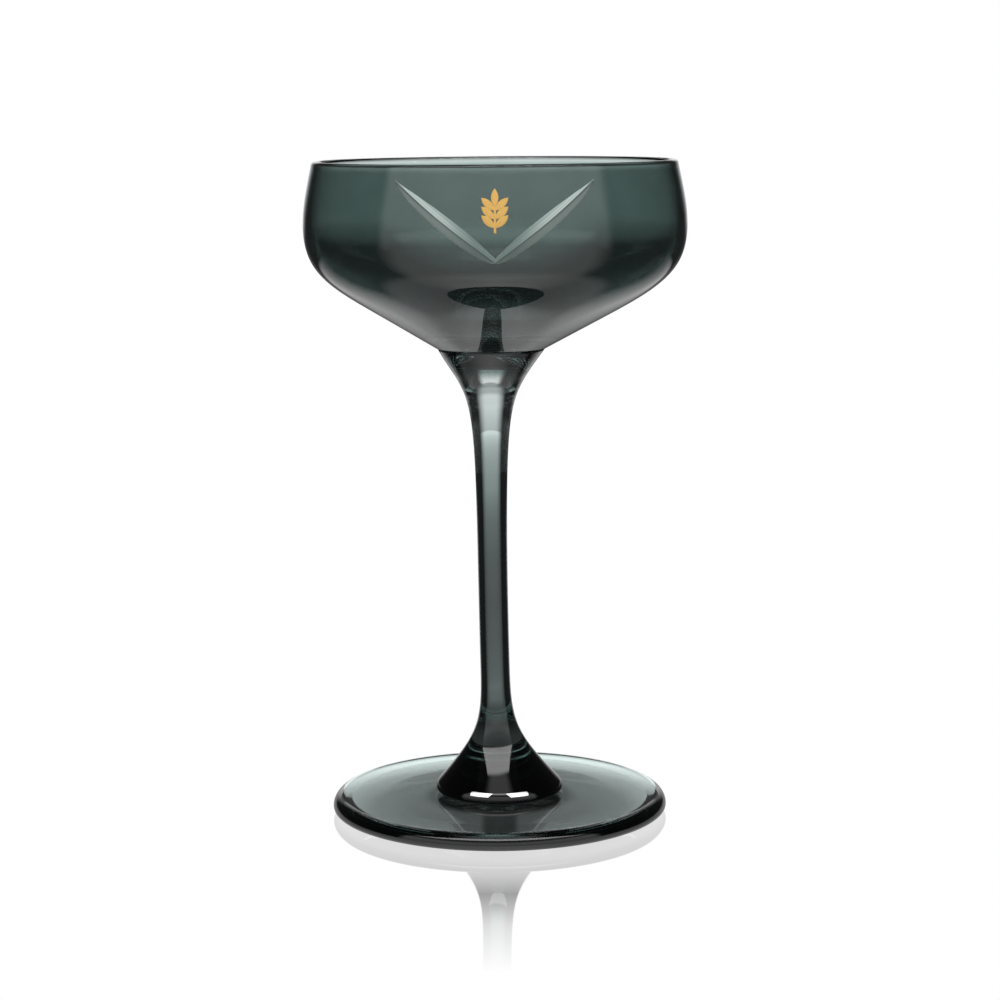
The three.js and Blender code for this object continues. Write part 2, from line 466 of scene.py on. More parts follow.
@dataclass(frozen=True)
class CutGlass:
    """Glass cut through the coat by a mitre wheel and left satin: pale facets with fine lines along each cut.

    The ground face scatters part of the light, which lifts the dark facets and softens the bright ones. The
    wheel's own lines, about a tenth of a millimetre apart, would be too fine to show, so they are drawn
    coarser.
    """

    pale: str = "#b7cac4"
    deep: str = "#62756f"
    line_pitch: float = 0.5
    line_range: tuple = (0.35, 0.65)
    line_height: float = 0.02
    coarse_end: tuple = (0.2, 0.5)
    coarse_share: float = 0.35
    roughness: float = 0.3
    clear_share: float = 0.68
    ior: float = 1.52

    def material(self) -> Material:
        """Makes the material: satin glass whose tone follows fine lines along each cut.

        Returns:
            The material.
        """
        material = bpy.data.materials.new("mitre_cut_glass")
        tree = empty_tree(material)
        across = add_node(tree, "Attribute", attribute_name="cut_across").outputs["Fac"]
        lines = add_node(tree, "TexNoise", {
            "W": across, "Scale": 1 / self.line_pitch, "Detail": 2.0,
        }, noise_dimensions="1D").outputs["Fac"]
        share = add_node(tree, "MapRange", {
            "Value": lines, "From Min": self.line_range[0], "From Max": self.line_range[1],
        }).outputs["Result"]
        along = add_node(tree, "Attribute", attribute_name="cut_along").outputs["Fac"]
        fine = add_node(tree, "MapRange", {
            "Value": along, "From Min": self.coarse_end[0], "From Max": self.coarse_end[1],
            "To Min": self.coarse_share, "To Max": 1.0,
        }).outputs["Result"]
        share = add_node(tree, "Math", {0: share, 1: fine}, operation="MULTIPLY").outputs[0]
        tone = add_node(tree, "Mix", {
            "Factor": share, "A": linear(self.deep), "B": linear(self.pale),
        }, data_type="RGBA").outputs["Result"]
        bump = add_node(tree, "Bump", {
            "Height": lines, "Strength": 1.0, "Distance": self.line_height * MM,
        }).outputs["Normal"]
        glass = add_node(tree, "BsdfPrincipled", {
            "Base Color": tone, "Roughness": self.roughness, "IOR": self.ior,
            "Transmission Weight": self.clear_share, "Normal": bump,
        })
        add_node(tree, "OutputMaterial", {"Surface": glass.outputs[0]})
        return material


@dataclass(frozen=True)
class FusedJoint:
    """The hot-joined face between two gathers of glass: nothing to see, since both sides are one glass."""

    def material(self) -> Material:
        """Makes the material: a face that light crosses unbent.

        Returns:
            The material.
        """
        material = bpy.data.materials.new("fused_glass_joint")
        tree = empty_tree(material)
        glass = add_node(tree, "BsdfPrincipled", {"Base Color": WHITE, "Alpha": 0.0})
        add_node(tree, "OutputMaterial", {"Surface": glass.outputs[0]})
        return material


@dataclass(frozen=True)
class GoldLustre:
    """Bright gold fired on as a transfer: a thin warm metal film with a satin grain.

    The grain is drawn coarser than the real one, some hundredths of a millimetre, so that it shows.
    """

    bright: str = "#e9c37a"
    deep: str = "#c99a4e"
    grain_size: float = 0.25
    grain_range: tuple = (0.3, 0.7)
    grain_height: float = 0.004
    roughness: tuple = (0.5, 0.3)

    def material(self) -> Material:
        """Makes the material: a satin gold whose tone and gloss vary with its grain.

        Returns:
            The material.
        """
        material = bpy.data.materials.new("fired_gold_lustre")
        tree = empty_tree(material)
        place = add_node(tree, "TexCoord").outputs["Object"]
        grain = add_node(tree, "TexNoise", {
            "Vector": place, "Scale": 1 / (self.grain_size * MM), "Detail": 4.0,
        }).outputs["Fac"]
        tone = add_node(tree, "Mix", {
            "Factor": grain, "A": linear(self.deep), "B": linear(self.bright),
        }, data_type="RGBA")
        gloss = add_node(tree, "MapRange", {
            "Value": grain, "From Min": self.grain_range[0], "From Max": self.grain_range[1],
            "To Min": self.roughness[0], "To Max": self.roughness[1],
        }).outputs["Result"]
        bump = add_node(tree, "Bump", {
            "Height": grain, "Strength": 1.0, "Distance": self.grain_height * MM,
        }).outputs["Normal"]
        gold = add_node(tree, "BsdfPrincipled", {
            "Base Color": tone.outputs["Result"], "Metallic": 1.0, "Roughness": gloss, "Normal": bump,
        })
        add_node(tree, "OutputMaterial", {"Surface": gold.outputs[0]})
        return material


@dataclass
class MitreCuts:
    """The two mitre cuts that fall from the lip's sides and meet in a V at the front of the bowl.

    Across a cut the wall drops evenly from each edge to the valley. Along it, s runs from 0 where the cuts
    meet to 1 at the tip.
    """

    meet_height: float
    tip_height: float
    tip_angle: float = 30.0
    wall_radius: float = 44.0
    sag: float = 0.45
    lower_width: float = 1.6
    lower_power: float = 0.75
    upper_width: float = 1.8
    upper_power: float = 1.1
    upper_peak: float = 0.35
    upper_start: float = 0.45
    fall: float = 27.0
    least: float = 0.05

    def share(self, angle: np.ndarray) -> np.ndarray:
        """How far along the cut each angle lies: sin|a| over the sine of the tip's angle, up to 1."""
        front = np.minimum(np.abs(angle), math.pi / 2)
        return np.clip(np.sin(front) / math.sin(math.radians(self.tip_angle)), 0, 1)

    def rise(self) -> float:
        """Slope of the cuts as the front view shows them, in radians."""
        reach = self.wall_radius * math.sin(math.radians(self.tip_angle))
        return math.atan2(self.tip_height - self.meet_height, reach)

    def valley(self, angle: np.ndarray) -> np.ndarray:
        """Height of the valley: straight in the front view, with a little sag, and level past the tips.

        Args:
            angle: Angles of the columns.

        Returns:
            A height for each column.
        """
        s = self.share(angle)
        straight = self.meet_height + (self.tip_height - self.meet_height) * s
        return straight - self.sag * 4 * s * (1 - s)

    def widths(self, angle: np.ndarray) -> tuple[np.ndarray, np.ndarray]:
        """Widths of the cut below and above its valley, square to its run.

        Args:
            angle: Angles of the columns.

        Returns:
            Lower width, a power of 1 - |2s - 1|^3 of its full size, and upper width, which starts at a share
            of its full size, peaks a third of the way along and closes towards the tip.
        """
        s = self.share(angle)
        lower = self.lower_width * (1 - np.abs(2 * s - 1) ** 3) ** self.lower_power
        before = 1 - (1 - self.upper_start) * ((self.upper_peak - s) / self.upper_peak) ** 2
        beyond = np.clip((s - self.upper_peak) / (1 - self.upper_peak), 0, 1)
        after = (1 - beyond ** 2) ** self.upper_power
        upper = self.upper_width * np.where(s < self.upper_peak, before, after)
        return lower, upper

    def depth(self, angle: np.ndarray) -> np.ndarray:
        """Depth of the valley: the mean width times the tangent of the sides' fall."""
        lower, upper = self.widths(angle)
        return (lower + upper) / 2 * math.tan(math.radians(self.fall))


class Piece:
    """A piece of the glass, which stands for one solid of the frame."""

    node: ClassVar[str]
    slot: ClassVar[str]

    def dress(self, made: bpy.types.Object) -> None:
        """Ties the piece's object to the frame and reports it.

        Args:
            made: The object.
        """
        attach(made, BODY)
        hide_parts(self.node)
        LOG.info("%s: %d faces, stands for %s", made.name, len(made.data.polygons), self.node)


class GlassPiece(Piece):
    """A piece of glass: one closed surface with the finishes of its zones."""

    slot: ClassVar[str] = "smoke_glass"

    def shell(self) -> Shell:
        """The surface, which each kind of piece works out for itself."""
        raise NotImplementedError

    def build(self, finishes: list[Material]) -> bpy.types.Object:
        """Makes the piece's object, with one finish for each zone."""
        return self.shell().build(f"{self.node}_glass", finishes)


@dataclass
class Bowl(GlassPiece):
    """The blown coupe bowl: a cone off the stem, a round shoulder, an upright belly and a leaning lip."""

    node: ClassVar[str] = "bowl"

    seat: float
    top: float
    belly_radius: float
    belly_below: float = 14.9
    head_radius: float = 12.85
    lip_radius: float = 43.4
    lip_lean: float = 12.0
    shoulder_radius: float = 28.0
    cone_rise: float = 29.5
    shoulder_handle: float = 0.7
    belly_lower_handle: float = 0.95
    belly_upper_handle: float = 0.3
    lip_handle: float = 0.4
    wall: float = 1.6
    floor: float = 2.0
    floor_blend: float = 20.0
    curve_points: int = 240
    lip_coat: float = 0.35
    lip_fade: tuple = (2.2, 0.5)
    # Painted shade: a thicker coat at the bowl's bottom, next to the seat.
    neck_shade_coat: float = 2.0
    neck_fade: float = 5.0
    cut_meet: float = 21.7
    cut_tip: float = 3.6
    level_below: float = 133.0
    back_spread: float = 24.0
    side_angle: float = 48.0
    front_columns: int = 151
    side_columns: int = 28
    back_columns: int = 200
    cone_rows: int = 14
    shoulder_rows: int = 24
    side_rows: int = 20
    facet_rows: int = 5
    lip_rows: int = 14
    inner_rows: int = 64
    seat_rows: int = 3

    def cuts(self) -> MitreCuts:
        """The cuts, placed below the lip."""
        return MitreCuts(self.top - self.cut_meet, self.top - self.cut_tip)

    def outer_wall(self) -> np.ndarray:
        """Outer profile from the seat's edge to the lip: a straight cone, a shoulder and a leaning wall.

        Returns:
            The points, one row each, as radius and height.
        """
        lean = math.radians(self.lip_lean)
        head = np.array([self.head_radius, self.seat])
        along = np.array([1, math.tan(math.radians(self.cone_rise))])
        shoulder = head + along * (self.shoulder_radius - self.head_radius)
        corner = head + along * (self.belly_radius - self.head_radius)
        belly = np.array([self.belly_radius, self.top - self.belly_below])
        lip = np.array([self.lip_radius, self.top - self.wall / 2 * (1 - math.sin(lean))])
        rise = lip[1] - belly[1]
        fall = np.array([math.sin(lean), -math.cos(lean)])
        count = self.curve_points
        cone = np.linspace(head, shoulder, count)
        lower = cubic(shoulder, self.shoulder_handle * (corner - shoulder),
                      belly, self.belly_lower_handle * (corner - belly), count)
        upper = cubic(belly, (0, self.belly_upper_handle * rise), lip, self.lip_handle * rise * fall, count)
        return np.concatenate([cone, lower[1:], upper[1:]])

    def inner_wall(self) -> np.ndarray:
        """Inner profile from the lip to the axis: the outer wall moved in, the cone, and a rounded floor.

        Returns:
            The points, one row each, as radius and height.
        """
        outer = self.outer_wall()
        inner = (outer - self.wall * outward(outer))[self.curve_points - 1:]
        slope = math.tan(math.radians(self.cone_rise))
        level = self.seat + self.floor
        blend = np.array([self.floor_blend, inner[0, 1] - (inner[0, 0] - self.floor_blend) * slope])
        corner = (blend[0] - (blend[1] - level) / slope, level)
        floor = quadratic(blend, corner, (0, level), self.curve_points)
        return np.concatenate([inner[::-1], floor])

    def columns(self) -> np.ndarray:
        """Angles of the columns from the front, close together across the cuts, wider at the back.

        Returns:
            The angles in radians.
        """
        tip = self.cuts().tip_angle
        front = np.linspace(-tip, tip, self.front_columns)
        side = np.linspace(tip, self.side_angle, self.side_columns)[1:]
        back = np.linspace(self.side_angle, FULL_TURN - self.side_angle, self.back_columns)[1:-1]
        return np.radians(np.concatenate([front, side, back, FULL_TURN - side[::-1]]))

    def heights(self, angle: np.ndarray) -> tuple[np.ndarray, dict]:
        """Heights of the outer wall's rows in each column.

        Below the cuts the rows are level. Then they bend until they follow the cut's lower edge, its valley
        and its upper edge, and they level out again towards the lip.

        Args:
            angle: Angles of the columns.

        Returns:
            Heights, rows by columns, and the row numbers of the cut's two edges and its valley.
        """
        cuts = self.cuts()
        outer = self.outer_wall()
        turn = folded(angle)
        middle = (self.level_below + self.top) / 2
        ease = smooth_step(turn, math.radians(cuts.tip_angle), math.radians(QUARTER_TURN))
        valley = cuts.valley(turn) * (1 - ease) + middle * ease
        lower, upper = (np.maximum(width, cuts.least) / math.cos(cuts.rise()) for width in cuts.widths(turn))
        spread = 1 + self.back_spread * ease
        low_edge, high_edge = valley - lower * spread, valley + upper * spread
        shoulder = outer[outer[:, 1] <= self.level_below]
        start = spaced(shoulder, self.cone_rows + self.shoulder_rows)[:, 1:]
        ones = np.ones_like(angle)
        last = outer[-1, 1]
        rows = [
            start * ones,
            between(start[-1] * ones, low_edge, self.side_rows),
            between(low_edge, valley, self.facet_rows),
            between(valley, high_edge, self.facet_rows),
            between(high_edge, last * ones, self.side_rows),
        ]
        ends = np.cumsum([len(part) for part in rows]) - 1
        return np.concatenate(rows), {"low": ends[1], "valley": ends[2], "high": ends[3]}

    def shell(self) -> Shell:
        """The whole bowl as one closed surface: seat, outer wall with its cuts, lip and inside.

        Returns:
            The surface.
        """
        cuts = self.cuts()
        angle = self.columns()
        turn = folded(angle)
        outer = self.outer_wall()
        across = outward(outer)
        height, marks = self.heights(angle)
        radius = np.interp(height, outer[:, 1], outer[:, 0])
        out = np.stack([np.interp(height, outer[:, 1], across[:, k]) for k in range(2)], axis=2)
        cut = turn < math.radians(cuts.tip_angle) - TINY
        row = np.arange(len(height))[:, None]
        fall = 1 - np.abs(row - marks["valley"]) / self.facet_rows
        drop = np.clip(fall, 0, 1) * np.where(cut, cuts.depth(turn), 0)
        wall = turned(radius - drop * out[:, :, 0], height - drop * out[:, :, 1], angle)
        lean, half = self.lip_lean, self.wall / 2
        centre = (self.lip_radius - half * math.cos(math.radians(lean)), self.top - half)
        lip = arc(centre, half, lean, lean + HALF_TURN, self.lip_rows + 1)[1:]
        inner = spaced(self.inner_wall(), self.inner_rows + 2)[1:-1]
        seat = np.linspace((0, self.seat), (self.head_radius, self.seat), self.seat_rows + 2)[1:-1]
        plain = [turned(part[:, :1], part[:, 1:], angle) for part in (seat, lip, inner)]
        rings = HandDraw().bend(np.concatenate([plain[0], wall, plain[1], plain[2]]))
        first, last = self.seat_rows, self.seat_rows + len(wall)
        zones = np.full((len(rings) - 1, len(angle)), Zone.CLEAR)
        zones[:first] = Zone.JOINT
        zones[first:last + self.lip_rows // 2 - 1] = Zone.COATED
        ahead = cut | np.roll(cut, -1)
        zones[first + marks["low"]:first + marks["high"]] = np.where(ahead, Zone.CUT, Zone.COATED)
        creases = np.zeros(rings.shape[:2], int)
        for number, mark in enumerate(("low", "valley", "high")):
            creases[first + marks[mark]] = np.where(cut, number + 1, 0)
        lower, upper = cuts.widths(turn)
        side = (row - marks["valley"]) / self.facet_rows
        aside = np.zeros(rings.shape[:2])
        aside[first:last] = np.where(side < 0, side * lower, side * upper)
        level = rings[..., 2]
        coat = 1 + (self.lip_coat - 1) * smooth_step(level, *(self.top - np.array(self.lip_fade)))
        # Painted shade: the coat doubles towards the seat, over the lowest 5 mm of the bowl, which darkens
        # its bottom.
        coat = coat + (self.neck_shade_coat - 1) * (1 - smooth_step(level, self.seat, self.seat + self.neck_fade))
        poles = HandDraw().bend(np.array([(0, 0, self.seat), (0, 0, self.seat + self.floor)]))
        along = cuts.share(turn) * np.ones_like(coat)
        measures = {"coat": coat, "cut_across": aside, "cut_along": along}
        return Shell(rings, poles, zones, (Zone.JOINT, Zone.CLEAR), measures, creases)


@dataclass
class Stem(GlassPiece):
    """The solid drawn stem: a round bead on the foot, a flare, a slim waist and a flared head."""

    node: ClassVar[str] = "stem"

    bottom: float
    top: float
    base_radius: float
    base_round: float = 2.75
    base_tuck: float = 26.0
    base_under: float = 1.6
    base_wedge: float = 0.35
    base_flare: float = 42.7
    base_handle: float = 0.39
    waist_lower_handle: float = 0.51
    waist_radius: float = 3.55
    waist_height: float = 38.3
    waist_upper_handle: float = 0.9
    head_handle: float = 0.19
    head_flare: float = 32.8
    head_radius: float = 12.85
    middle_coat: float = 0.65
    thin_start: float = 70.0
    thin_end: float = 105.0
    thin_coat: float = 0.26
    # Painted shade: a band of thicker coat on the lower stem.
    band_shade_coat: float = 1.1
    band_shade_height: float = 23.0
    band_shade_spread: float = 2.4
    # Painted shade: a thicker coat just below the head.
    neck_start: float = 7.0
    neck_end: float = 3.0
    neck_shade_coat: float = 2.2
    # Painted shade: a much thicker coat on the bead and the lower flare.
    base_shade_start: float = 17.5
    base_shade_end: float = 9.0
    base_shade_coat: float = 5.0
    curve_points: int = 400
    bead_rows: int = 24
    rows: int = 200
    sides: int = 192

    def bead(self) -> np.ndarray:
        """The bead from the foot up to where the flare leaves it: a tucked underside and a round.

        Returns:
            The points, one row each, as radius and height.
        """
        lift = self.base_round * math.sin(math.radians(self.base_tuck))
        centre = (self.base_radius - self.base_round, self.bottom + lift)
        contact = (self.base_radius - self.base_under, self.bottom)
        handle = (self.base_radius, self.bottom + self.base_wedge)
        under = quadratic(contact, handle, (self.base_radius, self.bottom + lift), self.bead_rows)
        return np.concatenate([under, arc(centre, self.base_round, 0, self.base_flare, self.bead_rows)[1:]])

    def flares(self) -> np.ndarray:
        """Profile from the bead to the head: two cubic curves that meet upright at the waist.

        Returns:
            The points, one row each, as radius and height.
        """
        base = self.bead()[-1]
        lower_run = self.waist_height - base[1]
        upper_run = self.top - self.waist_height
        leave = np.array([-math.tan(math.radians(self.base_flare)), 1]) * lower_run * self.base_handle
        arrive = np.array([-math.tan(math.radians(self.head_flare)), -1]) * upper_run * self.head_handle
        waist = (self.waist_radius, self.waist_height)
        head = (self.head_radius, self.top)
        lower = cubic(base, leave, waist, (0, -self.waist_lower_handle * lower_run), self.curve_points)
        upper = cubic(waist, (0, self.waist_upper_handle * upper_run), head, arrive, self.curve_points)
        return np.concatenate([lower, upper[1:]])

    def shell(self) -> Shell:
        """The stem as one closed surface, its two ends fused to the bowl and the foot.

        Returns:
            The surface.
        """
        bead = self.bead()
        side = spaced(self.flares(), self.rows)[1:]
        halfway_in = (0.5, 1)
        line = np.concatenate([bead[:1] * halfway_in, bead, side, side[-1:] * halfway_in])
        angle = np.linspace(0, 2 * math.pi, self.sides, endpoint=False)
        rings = turned(line[:, :1], line[:, 1:], angle)
        zones = np.full((len(rings) - 1, self.sides), Zone.COATED)
        zones[0] = zones[-1] = Zone.JOINT
        level = rings[..., 2]
        thin = smooth_step(level, self.thin_start, self.thin_end)
        # Painted shade: the coat grows much thicker below 17.5 mm, darkening the bead and the lower flare.
        thick = smooth_step(-level, -self.base_shade_start, -self.base_shade_end)
        # Painted shade: the coat thickens over the last 7 mm below the head.
        neck = smooth_step(level, self.top - self.neck_start, self.top - self.neck_end)
        coat = self.middle_coat + (self.thin_coat - self.middle_coat) * thin
        coat = coat + (self.base_shade_coat - self.middle_coat) * thick
        coat = coat + (self.neck_shade_coat - self.thin_coat) * neck
        # Painted shade: a band of thicker coat about 23 mm up the stem.
        coat = coat + self.band_shade_coat * np.exp(-((level - self.band_shade_height) / self.band_shade_spread) ** 2)
        poles = HandDraw().bend(np.array([(0, 0, self.bottom), (0, 0, self.top)]))
        return Shell(HandDraw().bend(rings), poles, zones, (Zone.JOINT, Zone.JOINT), {"coat": coat})


@dataclass
class Foot(GlassPiece):
    """The pressed disc foot: a hollow below, a flat ring to stand on, a round edge and a flat top."""

    node: ClassVar[str] = "foot"

    radius: float
    top: float
    seat_radius: float
    upper_round: float = 2.9
    lower_round: float = 1.0
    hollow: float = 0.4
    top_coat: float = 0.55
    # Painted shade: a thicker coat on the round edge.
    rim_shade_coat: float = 2.8
    rim_shade_width: float = 1.9
    bearing_inset: float = 4.7
    bearing_width: float = 8.0
    curve_rows: int = 40
    round_rows: int = 24
    sides: int = 288

    def below(self) -> np.ndarray:
        """Profile of the underside: the hollow from the axis, the bearing ring and the rise to the edge.

        Returns:
            The points, one row each, as radius and height.
        """
        outer = self.radius - self.bearing_inset
        inner = outer - self.bearing_width
        widest = self.top - self.upper_round
        edge = (self.radius - self.lower_round, widest - self.lower_round)
        hollow = quadratic((0, self.hollow), (inner / 2, self.hollow), (inner, 0), self.curve_rows)[1:]
        ring = np.linspace((inner, 0), (outer, 0), self.round_rows)[1:]
        rise = np.linspace((outer, 0), edge, self.round_rows)[1:-1]
        return np.concatenate([hollow, ring, rise])

    def above(self) -> np.ndarray:
        """Profile of the edge's two rounds and the flat top as far as the stem.

        Returns:
            The points, one row each, as radius and height.
        """
        widest = self.top - self.upper_round
        rounds = ((self.lower_round, -QUARTER_TURN, 0), (self.upper_round, 0, QUARTER_TURN))
        under, over = (
            arc((self.radius - size, widest), size, first, last, self.round_rows)
            for size, first, last in rounds
        )
        flat = np.linspace(over[-1], (self.seat_radius, self.top), self.curve_rows)[1:]
        return np.concatenate([under, over[1:], flat])

    def shell(self) -> Shell:
        """The foot as one closed surface, coated above, bare below, its seat fused to the stem.

        Returns:
            The surface.
        """
        below, above = self.below(), self.above()
        seat = np.array([[self.seat_radius / 2, self.top]])
        line = np.concatenate([below, above, seat])
        angle = np.linspace(0, 2 * math.pi, self.sides, endpoint=False)
        rings = turned(line[:, :1], line[:, 1:], angle)
        zones = np.full((len(rings) - 1, self.sides), Zone.COATED)
        zones[:len(below)] = Zone.CLEAR
        zones[-1] = Zone.JOINT
        poles = np.array([(0, 0, self.hollow), (0, 0, self.top)])
        # Painted shade: the coat is about five times as thick over the outer 1.9 mm, darkening the round
        # edge.
        rim = smooth_step(np.hypot(rings[..., 0], rings[..., 1]), self.radius - self.rim_shade_width, self.radius)
        coat = self.top_coat + (self.rim_shade_coat - self.top_coat) * rim
        return Shell(rings, poles, zones, (Zone.CLEAR, Zone.JOINT), {"coat": coat})


@dataclass
class Sprig(Piece):
    """The gold sprig on the front wall: a stalk, pairs of pointed leaves and one leaf at its top."""

    node: ClassVar[str] = "gold_emblem"
    slot: ClassVar[str] = "gold_lustre"

    bowl: Bowl
    centre_below_lip: float = 10.1
    height: float = 9.8
    stalk_width: float = 0.6
    leaf_length: float = 4.1
    leaf_width: float = 1.7
    leaf_angle: float = 47.0
    pairs: int = 3
    root_share: float = 0.6
    tip: float = 0.01
    film: float = 0.06
    lift: float = 0.02
    stations: int = 28
    around: int = 16

    def strokes(self) -> list[tuple]:
        """The strokes of the sprig: a leaf at its top, leaves in pairs and the stalk.

        Returns:
            Each stroke's root height, length, angle to the upright and full half-width, and whether it is
            pointed.
        """
        bottom = self.bowl.top - self.centre_below_lip - self.height / 2
        top = bottom + self.height - self.leaf_length
        leaves = [(top, self.leaf_length, 0.0, self.leaf_width / 2, True)]
        for pair in range(self.pairs):
            root = bottom + (top - bottom) * (pair + self.root_share) / self.pairs
            for side in (-1, 1):
                leaves.append((root, self.leaf_length, side * self.leaf_angle, self.leaf_width / 2, True))
        return [*leaves, (bottom, top - bottom + self.stalk_width / 2, 0.0, self.stalk_width / 2, False)]

    def stroke(self, root: float, length: float, angle: float, half: float, pointed: bool) -> np.ndarray:
        """One stroke as rings of points round its section, laid on the front wall.

        Along the stroke t runs from 0 to 1. A leaf's half-width is 4t(1 - t) of its full size. Round the
        section the film's top is a low dome and its underside is flat.

        Args:
            root: Height of the stroke's root.
            length: Its length.
            angle: Its angle to the upright, in degrees.
            half: Its full half-width.
            pointed: Whether it closes to a point at both ends.

        Returns:
            Points, stations by section points by 3.
        """
        tip = self.tip if pointed else 0
        t = np.linspace(tip, 1 - tip, self.stations)[:, None]
        width = half * 4 * t * (1 - t) if pointed else half * np.ones_like(t)
        spin = np.linspace(0, 2 * math.pi, self.around, endpoint=False)
        v, up = np.cos(spin), np.sin(spin)
        lean = math.radians(angle)
        x = math.sin(lean) * length * t + math.cos(lean) * width * v
        z = root + math.cos(lean) * length * t - math.sin(lean) * width * v
        outer = self.bowl.outer_wall()
        out = outward(outer)
        radius = np.interp(z, outer[:, 1], outer[:, 0])
        away = self.lift + self.film * np.maximum(up, 0) * np.ones_like(t)
        flat = np.interp(z, outer[:, 1], out[:, 0])
        rise = np.interp(z, outer[:, 1], out[:, 1])
        turn = np.arcsin(x / radius)
        r = radius + away * flat
        return np.stack([r * np.sin(turn), -r * np.cos(turn), z + away * rise], axis=2)

    def build(self, finishes: list[Material]) -> bpy.types.Object:
        """Makes the sprig's object: every stroke a closed film.

        Args:
            finishes: The gold alone.

        Returns:
            The new object.
        """
        points, faces = [], []
        first = 0
        for values in self.strokes():
            rings = self.stroke(*values)
            rows, columns = rings.shape[:2]
            here = first + np.arange(rows * columns).reshape(rows, columns)
            ahead = np.roll(here, -1, axis=1)
            quads = np.stack([here[:-1], here[1:], ahead[1:], ahead[:-1]], axis=2).reshape(-1, 4)
            faces += quads.tolist() + [here[0].tolist(), here[-1][::-1].tolist()]
            points.append(rings.reshape(-1, 3))
            first += rows * columns
        mesh = bpy.data.meshes.new("gold_sprig")
        mesh.from_pydata(np.concatenate(points) * MM, [], faces)
        mesh.polygons.foreach_set("use_smooth", np.ones(len(faces), bool))
        for finish in finishes:
            mesh.materials.append(finish)
        return placed("gold_sprig", mesh)


def shift(tree: Tree, before: float | Socket, after: float | Socket, *steps: tuple) -> Socket:
    """Goes from one value to another where all of some smooth steps are 1.

    Args:
        tree: The node tree that gets the nodes.
        before: The value where any step is 0.
        after: The value where all steps are 1.
        *steps: For each step what it is measured along, and its edge: the places where it is 0 and 1.

    Returns:
        The value.
    """
    share = 1.0
    for value, (zero, one) in steps:
        step = add_node(tree, "MapRange", {
            "Value": value, "From Min": min(zero, one), "From Max": max(zero, one),
            "To Min": float(zero > one), "To Max": float(zero < one),
        }, interpolation_type="SMOOTHSTEP").outputs["Result"]
        share = add_node(tree, "Math", {0: share, 1: step}, operation="MULTIPLY").outputs[0]
    return add_node(tree, "Mix", {"Factor": share, "A": before, "B": after}).outputs["Result"]


def levels(tree: Tree, value: Socket, stops: tuple) -> Socket:
    """A value that follows straight lines from stop to stop.

    Args:
        tree: The node tree that gets the nodes.
        value: What the stops are measured along.
        stops: Pairs of a place and the value there, in rising order.

    Returns:
        The value.
    """
    result = stops[0][1]
    for (low, _), (high, level) in zip(stops, stops[1:]):
        share = add_node(tree, "MapRange", {
            "Value": value, "From Min": low, "From Max": high, "To Min": 0.0, "To Max": 1.0,
        }).outputs["Result"]
        result = add_node(tree, "Mix", {"Factor": share, "A": result, "B": level}).outputs["Result"]
    return result


def bearing(tree: Tree, place: Socket) -> Socket:
    """Angle round the Z axis from the front, 0 to 180 degrees on either side.

    Args:
        tree: The node tree that gets the nodes.
        place: A point or a direction.

    Returns:
        The angle in degrees.
    """
    level = add_node(tree, "VectorMath", {0: place, 1: (1, 1, 0)}, operation="MULTIPLY").outputs[0]
    flat = add_node(tree, "VectorMath", {0: level}, operation="NORMALIZE").outputs[0]
    ahead = add_node(tree, "VectorMath", {0: flat, 1: (0, -1, 0)}, operation="DOT_PRODUCT").outputs["Value"]
    angle = add_node(tree, "Math", {0: ahead}, operation="ARCCOSINE").outputs[0]
    return add_node(tree, "Math", {0: angle}, operation="DEGREES").outputs[0]


